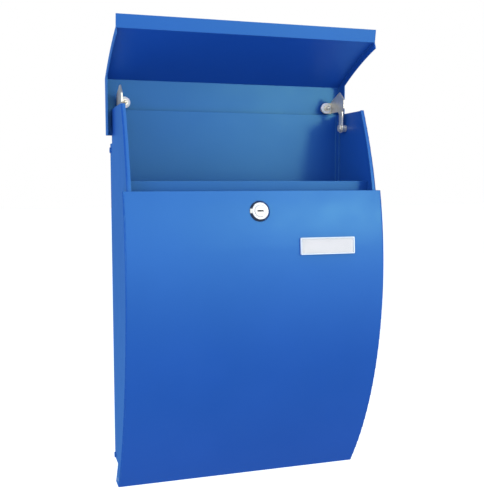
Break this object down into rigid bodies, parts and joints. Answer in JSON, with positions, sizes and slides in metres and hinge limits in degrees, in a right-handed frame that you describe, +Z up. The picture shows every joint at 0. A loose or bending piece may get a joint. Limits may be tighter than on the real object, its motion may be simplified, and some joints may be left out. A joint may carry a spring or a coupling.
{
  "type": "wall letterbox",
  "caption": "Wall-mounted sheet-steel letterbox with a curved bottom-hinged door, a bent flip-up lid, a cam lock and a name holder.",
  "frame": {"origin": "centre of the four wall-screw holes, on the plane where the back meets the wall", "axes": "+X to the right as seen from the street, -Y out of the wall towards the street, +Z up"},
  "size_m": [0.3126, 0.1499, 0.5528],
  "materials": {
    "blue_coat": "semi-gloss powder coat",
    "blue_coat_lid": "semi-gloss powder coat",
    "zinc": "bright zinc plating",
    "nylon": "moulded nylon",
    "lock_chrome": "polished nickel-chrome",
    "lock_brass": "stamped",
    "holder": "moulded",
    "window": "clear plastic",
    "card": "card",
    "rubber": "moulded"
  },
  "bodies": {
    "case": {"back_panel": "blue_coat", "left_side": "blue_coat", "right_side": "blue_coat", "bottom_plate": "blue_coat", "crossbar": "blue_coat", "case_rivets": "zinc", "door_pin_left": "zinc", "door_pin_right": "zinc", "door_washer_left": "nylon", "door_washer_right": "nylon", "pivot_pin_left": "zinc", "pivot_pin_right": "zinc", "pivot_spacer_left": "zinc", "pivot_spacer_right": "zinc", "pivot_cap_left": "zinc", "pivot_cap_right": "zinc", "door_buffers": "rubber"},
    "lid": {"lid": "blue_coat_lid", "hinge_arm_left": "zinc", "hinge_arm_right": "zinc", "lid_bosses": "zinc", "nylon_washers": "nylon", "arm_screws": "zinc"},
    "door": {"door": "blue_coat", "lock_barrel": "lock_chrome", "lock_nut": "zinc", "name_holder": "holder", "name_window": "window", "push_nuts": "zinc"},
    "lock": {"lock_plug": "lock_chrome", "lock_wafers": "lock_brass", "lock_cam": "zinc", "cam_washer": "zinc", "cam_screw": "zinc"},
    "card": {"name_card": "card"}
  },
  "joints": [
    {"name": "lid_hinge", "type": "hinge", "parent": "case", "child": "lid", "pos_m": [0, -0.046, 0.244], "axis": [1, 0, 0], "range_deg": [0, 96]},
    {"name": "door_hinge", "type": "hinge", "parent": "case", "child": "door", "pos_m": [0, -0.06109, -0.186], "axis": [1, 0, 0], "range_deg": [0, 100]},
    {"name": "lock_turn", "type": "hinge", "parent": "door", "child": "lock", "pos_m": [0, -0.14028, 0.142], "axis": [0, -0.9845, 0.1751], "range_deg": [0, 90]},
    {"name": "card_slide", "type": "slide", "parent": "door", "child": "card", "axis": [1, 0, 0], "range_m": [0, 0.07]}
  ]
}
